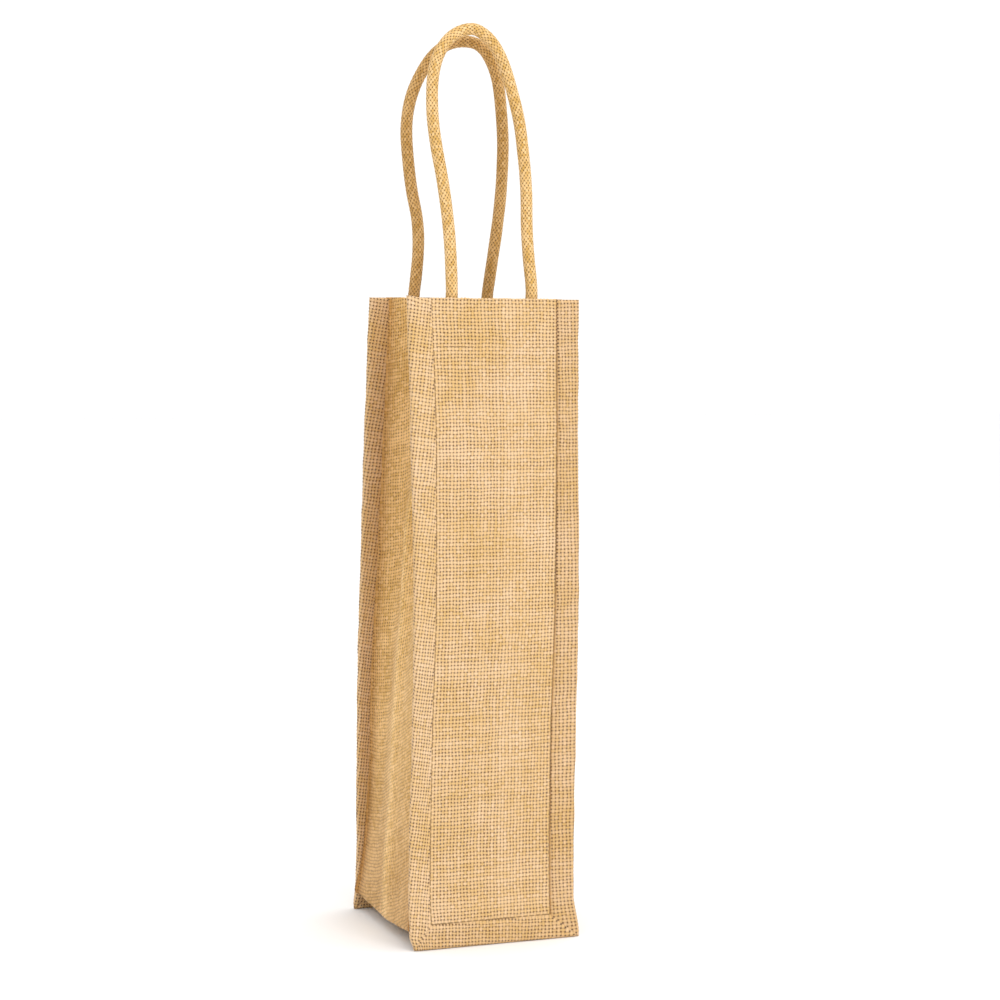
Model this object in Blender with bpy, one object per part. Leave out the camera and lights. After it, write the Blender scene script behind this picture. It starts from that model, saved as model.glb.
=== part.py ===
"""Jute bottle bag with two braided rope handles, standing on the floor.

Metres, +Z up. The origin is under the middle of the bag, on the floor. The front faces -Y.
The front and back lean towards each other, so the mouth is narrower than the foot, and each
side gusset is creased inwards towards the mouth. Every welt stands proud of the gussets, and
the bottom welts hold the base a little above the floor.
"""

import math

import bmesh
import bpy
from mathutils import Vector

# Driving dimensions
BAG_HEIGHT = 0.350
BAG_WIDTH = 0.098
FOOT_DEPTH = 0.1035
MOUTH_DEPTH = 0.061
WELT_WIDTH = 0.013
HEM_HEIGHT = 0.029
BASE_HEIGHT = 0.009
ROPE_DIAMETER = 0.0064

# Cloth, thread and clearances
CLOTH = 0.0012
WELT_THICKNESS = 0.0040
THREAD = 0.0008
GAP = 0.0003

# Depths under a side's outer plane
PANEL_DEPTH = 0.0006
LINING_DEPTH = PANEL_DEPTH + CLOTH + GAP
ROPE_AXIS_DEPTH = LINING_DEPTH + ROPE_DIAMETER / 2
GUSSET_DEPTH = WELT_THICKNESS + GAP

# Widths across a side
HALF_WIDTH = BAG_WIDTH / 2
WELT_INNER = HALF_WIDTH - WELT_WIDTH
PANEL_HALF_WIDTH = WELT_INNER - THREAD - 2 * GAP
HEM_HALF_WIDTH = PANEL_HALF_WIDTH - GAP

# The hem's lower edge, and the line of stitching a little above it
HEM_FOOT = BAG_HEIGHT - HEM_HEIGHT
HEM_STITCHING = HEM_FOOT + 0.003

# A rope end is pressed flat in its pocket between the panel and the hem
ROPE_END_WIDTH = 0.0080
ROPE_END_THICKNESS = 0.0046
ROPE_END_LENGTH = 0.022
ROPE_END_SIDES = 16
POCKET_FLOOR_HALF = 0.0032
POCKET_MOUTH_HALF = 0.0065
POCKET_CORNER = 0.00075

# Gusset: its edges and its crease, as (height, half width) from the foot to the mouth
GUSSET_EDGE = ((BASE_HEIGHT, 0.0446), (0.040, 0.0406), (0.080, 0.0378), (BAG_HEIGHT, 0.0370))
GUSSET_CREASE = (
    (BASE_HEIGHT, 0.0452),
    (0.040, 0.0432),
    (0.080, 0.0405),
    (0.150, 0.0350),
    (0.220, 0.0275),
    (0.290, 0.0195),
    (HEM_FOOT, 0.0158),
    (BAG_HEIGHT, 0.0125),
)

# The base fills the foot between the two gussets, which lean in a little above it
BASE_SIDE_CLEARANCE = 0.0004
BASE_HALF_WIDTH = GUSSET_EDGE[0][1] - CLOTH - BASE_SIDE_CLEARANCE

# Handles: each route is (X, height above the rim), left foot to right foot, and the loop
# leans so that its top stands HANDLE_TOP_DEPTH from the middle of the bag
ROPE_LIFT = 0.0008
HANDLE_TOP_DEPTH = 0.0065
FRONT_HANDLE_ROUTE = (
    (-0.0224, 0.006),
    (-0.0224, 0.025),
    (-0.0233, 0.044),
    (-0.0254, 0.064),
    (-0.0282, 0.083),
    (-0.0295, 0.101),
    (-0.0286, 0.118),
    (-0.0250, 0.131),
    (-0.0185, 0.1405),
    (-0.0105, 0.1455),
    (-0.0030, 0.1462),
    (0.0052, 0.1405),
    (0.0112, 0.130),
    (0.0160, 0.114),
    (0.0196, 0.096),
    (0.0213, 0.077),
    (0.0220, 0.058),
    (0.0215, 0.039),
    (0.0219, 0.022),
    (0.0228, 0.006),
)
BACK_HANDLE_ROUTE = (
    (-0.0245, 0.006),
    (-0.0238, 0.024),
    (-0.0252, 0.042),
    (-0.0292, 0.058),
    (-0.0325, 0.075),
    (-0.0345, 0.093),
    (-0.0333, 0.108),
    (-0.0288, 0.121),
    (-0.0222, 0.132),
    (-0.0140, 0.1388),
    (-0.0048, 0.1410),
    (0.0035, 0.1388),
    (0.0098, 0.132),
    (0.0150, 0.121),
    (0.0190, 0.105),
    (0.0213, 0.086),
    (0.0220, 0.067),
    (0.0215, 0.047),
    (0.0199, 0.026),
    (0.0183, 0.006),
)
ROPE_POINTS = 48

FRONT, BACK = -1, 1
LEFT, RIGHT = -1, 1


def clear_scene():
    for old in list(bpy.data.objects):
        bpy.data.objects.remove(old, do_unlink=True)


def plain_material(name, colour, roughness):
    material = bpy.data.materials.new(name)
    material.use_nodes = True
    shader = material.node_tree.nodes["Principled BSDF"]
    shader.inputs["Base Color"].default_value = (*colour, 1.0)
    shader.inputs["Roughness"].default_value = roughness
    shader.inputs["Metallic"].default_value = 0.0
    return material


def jute_material(name):
    return plain_material(name, (0.60, 0.42, 0.20), 0.9)


def rope_material(name):
    return plain_material(name, (0.60, 0.38, 0.13), 0.85)


def thread_material(name):
    return plain_material(name, (0.42, 0.29, 0.12), 0.8)


def half_depth(height):
    """Distance from the middle of the bag to a side's outer plane."""
    taper = (FOOT_DEPTH - MOUTH_DEPTH) / 2
    return FOOT_DEPTH / 2 - taper * height / BAG_HEIGHT


def on_side(side, x, depth, height):
    """A point at a depth under the outer plane of the front or the back."""
    return Vector((x, side * (half_depth(height) - depth), height))


def between(table, height):
    """The half width at a height, from a table of (height, half width)."""
    for (low, at_low), (high, at_high) in zip(table, table[1:]):
        if height <= high:
            return at_low + (at_high - at_low) * (height - low) / (high - low)
    return table[-1][1]


def add_solid(name, bm, material):
    """Turns a bmesh that holds one closed shape into an object whose faces point outwards."""
    bmesh.ops.recalc_face_normals(bm, faces=bm.faces)
    if bm.calc_volume(signed=True) < 0:
        bmesh.ops.reverse_faces(bm, faces=bm.faces)
    mesh = bpy.data.meshes.new(name)
    bm.to_mesh(mesh)
    bm.free()
    mesh.materials.append(material)
    made = bpy.data.objects.new(name, mesh)
    bpy.context.collection.objects.link(made)


def solid_from_rings(name, rings, material):
    """A closed solid through rings of points, each ring joined to the next, with flat ends."""
    bm = bmesh.new()
    loops = [[bm.verts.new(point) for point in ring] for ring in rings]
    for low, high in zip(loops, loops[1:]):
        for i in range(len(low)):
            j = (i + 1) % len(low)
            bm.faces.new((low[i], low[j], high[j], high[i]))
    bm.faces.new(loops[0])
    bm.faces.new(loops[-1])
    add_solid(name, bm, material)


def solid_from_sheet(name, rows, offset, material):
    """A closed solid of even thickness: a grid of points, and the same grid moved by an offset."""
    bm = bmesh.new()
    outer = [[bm.verts.new(point) for point in row] for row in rows]
    inner = [[bm.verts.new(point + offset) for point in row] for row in rows]
    last_row = len(rows) - 1
    last_column = len(rows[0]) - 1
    for face in (outer, inner):
        for r in range(last_row):
            for c in range(last_column):
                bm.faces.new((face[r][c], face[r][c + 1], face[r + 1][c + 1]))
                bm.faces.new((face[r][c], face[r + 1][c + 1], face[r + 1][c]))
    rim = [(0, c) for c in range(last_column)]
    rim += [(r, last_column) for r in range(last_row)]
    rim += [(last_row, c) for c in range(last_column, 0, -1)]
    rim += [(r, 0) for r in range(last_row, 0, -1)]
    for (r, c), (next_r, next_c) in zip(rim, rim[1:] + rim[:1]):
        bm.faces.new((outer[r][c], outer[next_r][next_c], inner[next_r][next_c], inner[r][c]))
    add_solid(name, bm, material)


def side_slab(name, side, outline, outer, inner, material):
    """A slab with its outline in (X, height), between two depths under a side's outer plane."""
    rings = [[on_side(side, x, depth, z) for x, z in outline] for depth in (outer, inner)]
    return solid_from_rings(name, rings, material)


def rectangle(x_low, x_high, z_low, z_high):
    return ((x_low, z_low), (x_high, z_low), (x_high, z_high), (x_low, z_high))


def make_panel(side, word):
    outline = rectangle(-PANEL_HALF_WIDTH, PANEL_HALF_WIDTH, WELT_WIDTH + THREAD + 2 * GAP, BAG_HEIGHT)
    name = f"{word}_panel"
    side_slab(name, side, outline, PANEL_DEPTH, PANEL_DEPTH + CLOTH, jute_material(name))


def make_upright_welt(side, word, hand, hand_word):
    """The stitched edge that stands out past a gusset, mitred at its foot."""
    outline = (
        (hand * HALF_WIDTH, GAP),
        (hand * WELT_INNER, WELT_WIDTH + GAP),
        (hand * WELT_INNER, BAG_HEIGHT),
        (hand * HALF_WIDTH, BAG_HEIGHT),
    )
    name = f"{word}_{hand_word}_welt"
    side_slab(name, side, outline, 0.0, WELT_THICKNESS, jute_material(name))


def make_bottom_welt(side, word):
    """The stitched edge under the panel, which the bag stands on."""
    foot = HALF_WIDTH - GAP
    top = WELT_INNER - GAP
    outline = ((-foot, 0.0), (foot, 0.0), (top, WELT_WIDTH), (-top, WELT_WIDTH))
    name = f"{word}_bottom_welt"
    side_slab(name, side, outline, 0.0, WELT_THICKNESS, jute_material(name))


def make_welt_thread(side, word):
    """One line of stitching down the left welt, along the bottom welt and up the right welt."""
    out = PANEL_HALF_WIDTH + GAP + THREAD
    inn = PANEL_HALF_WIDTH + GAP
    foot = WELT_WIDTH + GAP
    top = BAG_HEIGHT - GAP
    outline = (
        (-out, top),
        (-out, foot),
        (out, foot),
        (out, top),
        (inn, top),
        (inn, foot + THREAD),
        (-inn, foot + THREAD),
        (-inn, top),
    )
    name = f"{word}_welt_thread"
    side_slab(name, side, outline, PANEL_DEPTH - GAP, PANEL_DEPTH + THREAD - GAP, thread_material(name))


def make_hem_thread(side, word):
    """The straight stitching that holds the turned hem."""
    half = PANEL_HALF_WIDTH
    outline = rectangle(-half, half, HEM_STITCHING - THREAD / 2, HEM_STITCHING + THREAD / 2)
    name = f"{word}_hem_thread"
    side_slab(name, side, outline, -GAP / 2, PANEL_DEPTH - GAP, thread_material(name))


def pocket_outline(feet, depth, floor_half, mouth_half, floor_depth):
    """The hem's line in (X, depth), left to right, stepping round the two rope ends."""
    line = [(-HEM_HALF_WIDTH, depth)]
    for centre in feet:
        line.append((centre - mouth_half, depth))
        line.append((centre - floor_half, floor_depth))
        line.append((centre + floor_half, floor_depth))
        line.append((centre + mouth_half, depth))
    line.append((HEM_HALF_WIDTH, depth))
    return line


def make_hem(side, word, feet):
    """The turned-in top edge of a panel, with a pocket over each rope end."""
    pocket_floor = LINING_DEPTH + ROPE_END_THICKNESS + GAP
    near = pocket_outline(feet, LINING_DEPTH, POCKET_FLOOR_HALF, POCKET_MOUTH_HALF, pocket_floor)
    far = pocket_outline(
        feet,
        LINING_DEPTH + CLOTH,
        POCKET_FLOOR_HALF + POCKET_CORNER,
        POCKET_MOUTH_HALF + POCKET_CORNER,
        pocket_floor + CLOTH,
    )
    plan = near + far[::-1]
    heights = (HEM_FOOT, BAG_HEIGHT - GAP)
    rings = [[on_side(side, x, depth, z) for x, depth in plan] for z in heights]
    name = f"{word}_hem"
    solid_from_rings(name, rings, jute_material(name))


def make_rope_end(side, word, foot, hand_word):
    """The flattened end of a handle, sewn into its pocket."""
    middle = LINING_DEPTH + ROPE_END_THICKNESS / 2
    rings = []
    for z in (BAG_HEIGHT - ROPE_END_LENGTH, BAG_HEIGHT):
        ring = []
        for i in range(ROPE_END_SIDES):
            turn = 2 * math.pi * i / ROPE_END_SIDES
            x = foot + ROPE_END_WIDTH / 2 * math.cos(turn)
            depth = middle + ROPE_END_THICKNESS / 2 * math.sin(turn)
            ring.append(on_side(side, x, depth, z))
        rings.append(ring)
    name = f"{word}_handle_{hand_word}_end"
    solid_from_rings(name, rings, rope_material(name))


def smooth_point(points, t):
    """A point on the Catmull-Rom curve through the points, for t from 0 to 1."""
    spans = len(points) - 1
    i = min(int(t * spans), spans - 1)
    u = t * spans - i
    p0 = points[max(i - 1, 0)]
    p1 = points[i]
    p2 = points[i + 1]
    p3 = points[min(i + 2, spans)]
    slope1 = (p2 - p0) / 2
    slope2 = (p3 - p1) / 2
    return (
        p1 * (2 * u**3 - 3 * u**2 + 1)
        + slope1 * (u**3 - 2 * u**2 + u)
        + p2 * (3 * u**2 - 2 * u**3)
        + slope2 * (u**3 - u**2)
    )


def handle_points(side, route):
    """The rope's centre line, straight up out of the rim and then leaning to the middle."""
    rim_y = side * (half_depth(BAG_HEIGHT) - ROPE_AXIS_DEPTH)
    top_y = side * HANDLE_TOP_DEPTH
    top = max(height for _, height in route)
    low = route[0][1]
    guide = [Vector((route[0][0], rim_y, BAG_HEIGHT + ROPE_LIFT))]
    for x, height in route:
        lean = (height - low) / (top - low)
        guide.append(Vector((x, rim_y + (top_y - rim_y) * lean, BAG_HEIGHT + height)))
    guide.append(Vector((route[-1][0], rim_y, BAG_HEIGHT + ROPE_LIFT)))
    return [smooth_point(guide, i / (ROPE_POINTS - 1)) for i in range(ROPE_POINTS)]


def make_handle(side, word, route):
    """A loop of rope that swings about the rim."""
    name = f"{word}_handle"
    pivot = on_side(side, 0.0, PANEL_DEPTH + CLOTH / 2, BAG_HEIGHT)
    curve = bpy.data.curves.new(name, "CURVE")
    curve.dimensions = "3D"
    curve.bevel_depth = ROPE_DIAMETER / 2
    curve.bevel_resolution = 4
    curve.use_fill_caps = True
    spline = curve.splines.new("POLY")
    points = handle_points(side, route)
    spline.points.add(len(points) - 1)
    for slot, point in zip(spline.points, points):
        slot.co = (*(point - pivot), 1.0)
    curve.materials.append(rope_material(name))
    loop = bpy.data.objects.new(name, curve)
    loop.location = pivot
    bpy.context.collection.objects.link(loop)


def gusset_point(hand, way, height, inset, at_crease):
    """A point on a gusset's edge or on its crease, set in from the outer face."""
    if at_crease:
        return Vector((hand * (between(GUSSET_CREASE, height) - inset), way * GAP / 2, height))
    edge_y = way * (half_depth(height) - GUSSET_DEPTH)
    return Vector((hand * (between(GUSSET_EDGE, height) - inset), edge_y, height))


def make_gusset_half(hand, hand_word, way, way_word):
    """The cloth between a welt and the crease in the middle of a side."""
    front_to_back = (False, True) if way == FRONT else (True, False)
    rows = []
    for height, _ in GUSSET_CREASE:
        rows.append([gusset_point(hand, way, height, 0.0, at_crease) for at_crease in front_to_back])
    name = f"{hand_word}_gusset_{way_word}"
    solid_from_sheet(name, rows, Vector((-hand * CLOTH, 0.0, 0.0)), jute_material(name))


def make_gusset_hem(hand, hand_word):
    """The turned-in top edge of a gusset, creased like the gusset it lines."""
    inset = CLOTH + GAP
    rows = []
    for height in (HEM_FOOT, BAG_HEIGHT - GAP):
        front_edge = gusset_point(hand, FRONT, height, inset, False)
        crease = gusset_point(hand, FRONT, height, inset, True)
        crease.y = 0.0
        back_edge = gusset_point(hand, BACK, height, inset, False)
        rows.append([front_edge, crease, back_edge])
    name = f"{hand_word}_gusset_hem"
    solid_from_sheet(name, rows, Vector((-hand * CLOTH, 0.0, 0.0)), jute_material(name))


def make_base():
    """The floor of the bag, between the two bottom welts."""
    rings = []
    for height in (BASE_HEIGHT, BASE_HEIGHT + CLOTH):
        front_y = -(half_depth(height) - GUSSET_DEPTH)
        rings.append(
            [
                Vector((-BASE_HALF_WIDTH, front_y, height)),
                Vector((BASE_HALF_WIDTH, front_y, height)),
                Vector((BASE_HALF_WIDTH, -front_y, height)),
                Vector((-BASE_HALF_WIDTH, -front_y, height)),
            ]
        )
    solid_from_rings("base_panel", rings, jute_material("base_panel"))


def make_side(side, word, route):
    make_panel(side, word)
    make_bottom_welt(side, word)
    make_welt_thread(side, word)
    make_hem_thread(side, word)
    make_handle(side, word, route)
    feet = (route[0][0], route[-1][0])
    make_hem(side, word, feet)
    for hand, hand_word, foot in ((LEFT, "left", feet[0]), (RIGHT, "right", feet[1])):
        make_upright_welt(side, word, hand, hand_word)
        make_rope_end(side, word, foot, hand_word)


def make_gussets():
    for hand, hand_word in ((LEFT, "left"), (RIGHT, "right")):
        make_gusset_half(hand, hand_word, FRONT, "front")
        make_gusset_half(hand, hand_word, BACK, "rear")
        make_gusset_hem(hand, hand_word)


def main():
    clear_scene()
    make_side(FRONT, "front", FRONT_HANDLE_ROUTE)
    make_side(BACK, "back", BACK_HANDLE_ROUTE)
    make_gussets()
    make_base()


main()
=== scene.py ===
"""The look of a jute bottle bag with two braided rope handles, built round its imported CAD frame.

Metres, +Z up. The front faces -Y, and the bag stands on the floor over the origin. Every piece of
cloth is a closed sheet with rounded edges and a soft, uneven shape. Its UV map is in yarns, so
one weave material fits them all, and the plaited ropes wear the same weave turned on its corner.
"""

import math

import bpy
import numpy as np
from mathutils import Matrix, Vector


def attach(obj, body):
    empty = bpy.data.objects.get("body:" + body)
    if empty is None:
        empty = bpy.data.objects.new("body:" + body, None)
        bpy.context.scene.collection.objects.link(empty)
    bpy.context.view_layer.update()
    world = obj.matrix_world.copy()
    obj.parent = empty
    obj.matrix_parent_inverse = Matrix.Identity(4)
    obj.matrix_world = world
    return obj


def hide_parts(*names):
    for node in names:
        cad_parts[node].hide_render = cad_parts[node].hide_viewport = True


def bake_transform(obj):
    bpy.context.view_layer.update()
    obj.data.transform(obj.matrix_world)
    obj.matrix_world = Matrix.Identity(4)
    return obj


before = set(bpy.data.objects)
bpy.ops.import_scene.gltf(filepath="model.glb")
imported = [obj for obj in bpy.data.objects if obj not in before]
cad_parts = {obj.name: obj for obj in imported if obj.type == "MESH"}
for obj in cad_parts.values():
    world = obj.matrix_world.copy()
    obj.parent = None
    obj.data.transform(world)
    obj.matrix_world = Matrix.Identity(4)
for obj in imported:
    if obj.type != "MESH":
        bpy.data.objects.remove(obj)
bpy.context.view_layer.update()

FRONT, BACK = -1, 1
LEFT, RIGHT = -1, 1

# Sizes of the bag, as in the CAD frame
HEIGHT = 0.350
HALF_WIDTH = 0.049
FOOT_HALF_DEPTH = 0.05175
MOUTH_HALF_DEPTH = 0.0305
WELT_WIDTH = 0.013
WELT_THICKNESS = 0.0040
WELT_PRESSED = 0.0017
CLOTH = 0.0012
GAP = 0.0003
HEM_FOOT = 0.321
HEM_STITCHING = 0.324
STITCH_LINE = HALF_WIDTH - WELT_WIDTH - 2 * GAP
PANEL_FACE = 0.0006

# How far the slack cloth departs from the square frame, by height: the shift of the middle of its
# front and of its back, its width as a share of the frame's, how far its seams wander to the left
# between the edges, and how far its foot stands forward
FRONT_SHIFT = (
    (0.0, -0.0035),
    (0.030, -0.0030),
    (0.090, -0.0006),
    (0.132, 0.0010),
    (0.175, 0.0025),
    (0.220, 0.0028),
    (0.350, 0.0026),
)
BACK_SHIFT = (
    (0.0, 0.0016),
    (0.030, 0.0019),
    (0.090, -0.0002),
    (0.150, -0.0014),
    (0.220, -0.0007),
    (0.265, -0.0005),
    (0.350, 0.0018),
    (0.356, 0.0026),
)
WIDTH_SHARE = (
    (0.0, 0.990),
    (0.030, 1.000),
    (0.090, 0.994),
    (0.175, 0.995),
    (0.220, 1.002),
    (0.278, 1.010),
    (0.350, 1.0378),
)
SEAM_WANDER = (
    (0.0, 0.0010),
    (0.014, 0.0013),
    (0.060, 0.0018),
    (0.120, 0.0022),
    (0.175, 0.0013),
    (0.278, -0.0005),
    (0.350, 0.0),
)
FOOT_FORWARD = 0.0020
CORNER_KICK = {FRONT: 0.0036, BACK: 0.0010}
CORNER_ROUND = 0.0026

# How the welts lie beside the panel: how far they lap over it, how deep the groove between them
# is, how dark the painted shade in it is, the slant of the yarns and a little painted shade over all
WELT_LAP = {LEFT: 0.0007, RIGHT: 0.0005}
GROOVE_DEPTH = {LEFT: 0.0002, RIGHT: 0.0006}
GROOVE_SHADE = {LEFT: 0.05, RIGHT: 0.75}
THREAD_DEPTH = {LEFT: 0.00095, RIGHT: 0.0012}
WELT_SLANT = {LEFT: -0.14, RIGHT: 0.015}
WELT_SHADE = {LEFT: 0.0, RIGHT: 0.16}
BACK_WELT_SHADE = 0.14

# Yarns
YARN = 0.00195
YARN_ROUND = 0.7
YARN_WAVE = 0.42
SCALLOP = 0.00028
FINE_STEP = YARN / 4
COARSE_STEP = 0.0024

# What the painted shade leaves of each colour of the cloth, where it is strongest
PAINTED_SHADE_TINT = (0.46, 0.305, 0.125)

# The rounded edges of a sheet of one layer: its first row, last row, first column and last column
THIN_EDGES = (CLOTH / 2, CLOTH / 2, CLOTH / 2, CLOTH / 2)

# Stitches
STITCH = 0.0031
WELT_STITCH_GAP = 0.0006
WELT_THREAD_RADIUS = 0.00034
HEM_STITCH_GAP = 0.0007
HEM_THREAD_RADIUS = 0.00026

# Rope
ROPE_RADIUS = 0.0032
ROPE_PLAITS = 10
PLAIT_LENGTH = 0.0028
PLAIT_RELIEF = 0.00026
ROPE_STEP = 0.00047
ROPE_SIDES = 60
ROPE_AXIS_DEPTH = 0.0053
ROPE_END_FOOT = 0.330
HANDLE_TOP_DEPTH = 0.0065

# The pockets in a hem that hold the rope ends: their rise, and their half width at top and bottom
POCKET_RISE = 0.0052
POCKET_TOP = 0.0036
POCKET_FOOT = 0.0072

# Each handle's route as (X, height above the rim), from its left foot to its right foot
FRONT_ROUTE = (
    (-0.0224, 0.006),
    (-0.0224, 0.025),
    (-0.0233, 0.044),
    (-0.0254, 0.064),
    (-0.0282, 0.083),
    (-0.0295, 0.101),
    (-0.0286, 0.118),
    (-0.0250, 0.131),
    (-0.0185, 0.1405),
    (-0.0105, 0.1455),
    (-0.0030, 0.1462),
    (0.0052, 0.1405),
    (0.0112, 0.130),
    (0.0160, 0.114),
    (0.0196, 0.096),
    (0.0213, 0.077),
    (0.0220, 0.058),
    (0.0215, 0.039),
    (0.0219, 0.022),
    (0.0228, 0.006),
)
BACK_ROUTE = (
    (-0.0245, 0.006),
    (-0.0238, 0.024),
    (-0.0252, 0.042),
    (-0.0292, 0.058),
    (-0.0325, 0.075),
    (-0.0345, 0.093),
    (-0.0333, 0.108),
    (-0.0288, 0.121),
    (-0.0222, 0.132),
    (-0.0140, 0.1388),
    (-0.0048, 0.1410),
    (0.0038, 0.1394),
    (0.0104, 0.1327),
    (0.0156, 0.1215),
    (0.0190, 0.105),
    (0.0213, 0.086),
    (0.0220, 0.067),
    (0.0215, 0.047),
    (0.0199, 0.026),
    (0.0183, 0.006),
)


# --- Numbers -------------------------------------------------------------------------------


def smooth(low, high, value):
    """0 below low, 1 above high, and an S curve between."""
    t = np.clip((value - low) / (high - low), 0.0, 1.0)
    return t * t * (3 - 2 * t)


def hump(value, centre, width):
    """1 at the centre, and dying away over the width on either side of it."""
    return np.exp(-(((value - centre) / width) ** 2))


def ripple(u, v, size, seed):
    """A smooth unevenness from -1 to 1 whose swells are about one size across."""
    random = np.random.default_rng(seed)
    total = np.zeros(np.broadcast(u, v).shape)
    waves = 6
    for _ in range(waves):
        angle, phase = random.uniform(0, 2 * math.pi, 2)
        length = size * random.uniform(0.7, 1.5)
        total += np.sin((u * math.cos(angle) + v * math.sin(angle)) * 2 * math.pi / length + phase)
    return total / waves


def scalloped(place):
    """How far each yarn's loop stands out along an edge."""
    return SCALLOP * np.abs(np.sin(math.pi * place / YARN))


def stations(low, high, step, low_edge, high_edge):
    """Places from low to high a step apart, and closer together over each rounded edge."""
    near = np.array([0.0, 0.06, 0.2, 0.45, 0.75])
    inner_low, inner_high = low + low_edge, high - high_edge
    count = max(2, int(round((inner_high - inner_low) / step)) + 1)
    middle = np.linspace(inner_low, inner_high, count)
    return np.concatenate([low + near * low_edge, middle, high - near[::-1] * high_edge])


def half_depth(z):
    """Distance from the middle of the bag to a side's outer plane."""
    return FOOT_HALF_DEPTH + (MOUTH_HALF_DEPTH - FOOT_HALF_DEPTH) * z / HEIGHT


def side_points(side, x, depth, z):
    """Points at a depth under the outer plane of the front or the back."""
    x, depth, z = np.broadcast_arrays(x, depth, z)
    return np.stack([x, side * (half_depth(z) - depth), z], axis=-1)


def table(rows, z):
    """Reads a table of (height, value) rows at a height."""
    heights, values = zip(*rows)
    return np.interp(z, heights, values)


def settled(points):
    """The slack of the real cloth: a narrower foot, a wider mouth, and corners that have set."""
    points = np.array(points, float)
    x, y, z = points[..., 0], points[..., 1], points[..., 2]
    inside = 1 - smooth(STITCH_LINE, HALF_WIDTH, np.abs(x))
    backness = np.clip(0.5 + 0.5 * y / half_depth(z), 0.0, 1.0)
    shift = table(FRONT_SHIFT, z) * (1 - backness) + table(BACK_SHIFT, z) * backness
    moved = x * table(WIDTH_SHARE, z) + shift - inside * table(SEAM_WANDER, z)
    outer = smooth(0.028, HALF_WIDTH, np.abs(x))
    kick = CORNER_KICK[FRONT] * (1 - backness) + CORNER_KICK[BACK] * backness
    kicked = kick * smooth(0.020, 0.045, -np.sign(x) * y) * smooth(0.024, 0.0, z)
    rounded = CORNER_ROUND * smooth(0.020, 0.045, np.sign(x) * y) * outer * smooth(0.008, 0.0, z)
    points[..., 0] = moved + np.sign(x) * outer * (kicked - rounded)
    points[..., 1] = y - FOOT_FORWARD * (1 - backness) * smooth(0.060, 0.0, z)
    return points


# --- Meshes --------------------------------------------------------------------------------


def make_mesh(name, points, quads, corner_uv, materials, face_slots=None, painted_shade=None):
    """A smooth-shaded mesh object with a UV map in yarns and an attribute of painted shade along its
    seams and creases.
    """
    mesh = bpy.data.meshes.new(name)
    mesh.from_pydata(points.tolist(), [], quads.tolist())
    layer = mesh.uv_layers.new(name="Yarns")
    layer.data.foreach_set("uv", corner_uv.astype(np.float32).ravel())
    for material in materials:
        mesh.materials.append(material)
    if face_slots is not None:
        mesh.polygons.foreach_set("material_index", face_slots.astype(np.int32))
    shade = mesh.attributes.new("painted_shade", "FLOAT", "POINT")
    values = np.zeros(len(points)) if painted_shade is None else painted_shade
    shade.data.foreach_set("value", values.astype(np.float32))
    mesh.polygons.foreach_set("use_smooth", np.ones(len(mesh.polygons), bool))
    mesh.update()
    made = bpy.data.objects.new(name, mesh)
    bpy.context.collection.objects.link(made)
    return made


def run_along(points, axis):
    """Distance along a grid of points, from its first row or column."""
    steps = np.linalg.norm(np.diff(points, axis=axis), axis=-1)
    first = np.zeros_like(np.take(steps, [0], axis=axis))
    return np.concatenate([first, np.cumsum(steps, axis=axis)], axis=axis)


def edge_rounding(middle, edges):
    """0 on the rim of a grid and 1 inside, on a quarter circle over each edge's radius."""
    rounding = np.ones(middle.shape[:2])
    for axis, (first, last) in ((0, edges[:2]), (1, edges[2:])):
        run = run_along(middle, axis)
        length = np.take(run, [-1], axis=axis)
        for distance, radius in ((run, first), (length - run, last)):
            share = 1 - np.clip(distance / radius, 0.0, 1.0)
            rounding = np.minimum(rounding, np.sqrt(np.clip(1 - share**2, 0.0, 1.0)))
    return rounding


def round_the_edges(middle, flat, edges):
    """Lengthens the flat places near each rim, so that the yarns run evenly round its rounded edge."""
    longer = np.array(flat, float)
    for axis, radii in ((0, edges[:2]), (1, edges[2:])):
        run = run_along(middle, axis)
        length = np.take(run, [-1], axis=axis)
        way = np.gradient(flat, axis=axis)
        way /= np.linalg.norm(way, axis=-1, keepdims=True)
        for distance, radius, sign in ((run, radii[0], -1), (length - run, radii[1], 1)):
            beyond = np.clip(radius - distance, 0.0, radius)
            arc = radius * np.arcsin(beyond / radius)
            longer += sign * (arc - beyond)[..., None] * way
    return longer


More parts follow.
